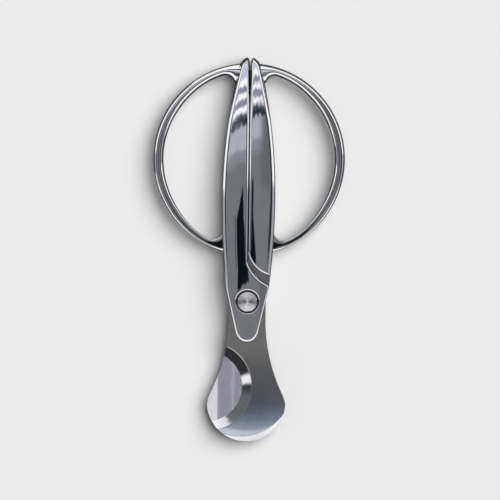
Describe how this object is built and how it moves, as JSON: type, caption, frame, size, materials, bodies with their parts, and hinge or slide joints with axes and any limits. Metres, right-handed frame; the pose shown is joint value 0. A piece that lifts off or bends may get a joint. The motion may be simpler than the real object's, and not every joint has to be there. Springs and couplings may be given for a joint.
{
  "type": "wick trimmer",
  "caption": "Scissor trimmer with half-round blades that pass each other, mirror-finished handles and a round finger loop on each handle, turning on one pivot.",
  "frame": {"origin": "on the pivot's axis, at the flat outer face of the pivot nut, which is the tool's lowest plane as it lies on its back", "axes": "+Y from the pivot to the handle tips, +X to the right as seen from the screw's side, +Z through the thickness from the nut to the screw's head"},
  "size_m": [0.0572, 0.1147, 0.0082],
  "materials": {
    "chrome_plate": "mirror-polished chrome plate",
    "blade_steel": "fine satin grain across the blade",
    "turned_steel": "face-turned, with fine rings",
    "screw_steel": "plain steel",
    "bronze": "plain bronze"
  },
  "bodies": {
    "front_half": {"front_handle": "chrome_plate", "front_loop": "chrome_plate", "front_blade": "blade_steel", "front_blade_screws": "screw_steel"},
    "back_half": {"back_handle": "chrome_plate", "back_loop": "chrome_plate", "back_blade": "blade_steel", "back_blade_screws": "screw_steel", "pivot_nut": "turned_steel", "pivot_screw": "turned_steel", "spring_washer": "screw_steel", "bearing_washer": "bronze"}
  },
  "joints": [
    {"name": "pivot", "type": "hinge", "parent": "front_half", "child": "back_half", "pos_m": [0, 0, 0.0041], "axis": [0, 0, -1], "range_deg": [0, 100]}
  ]
}
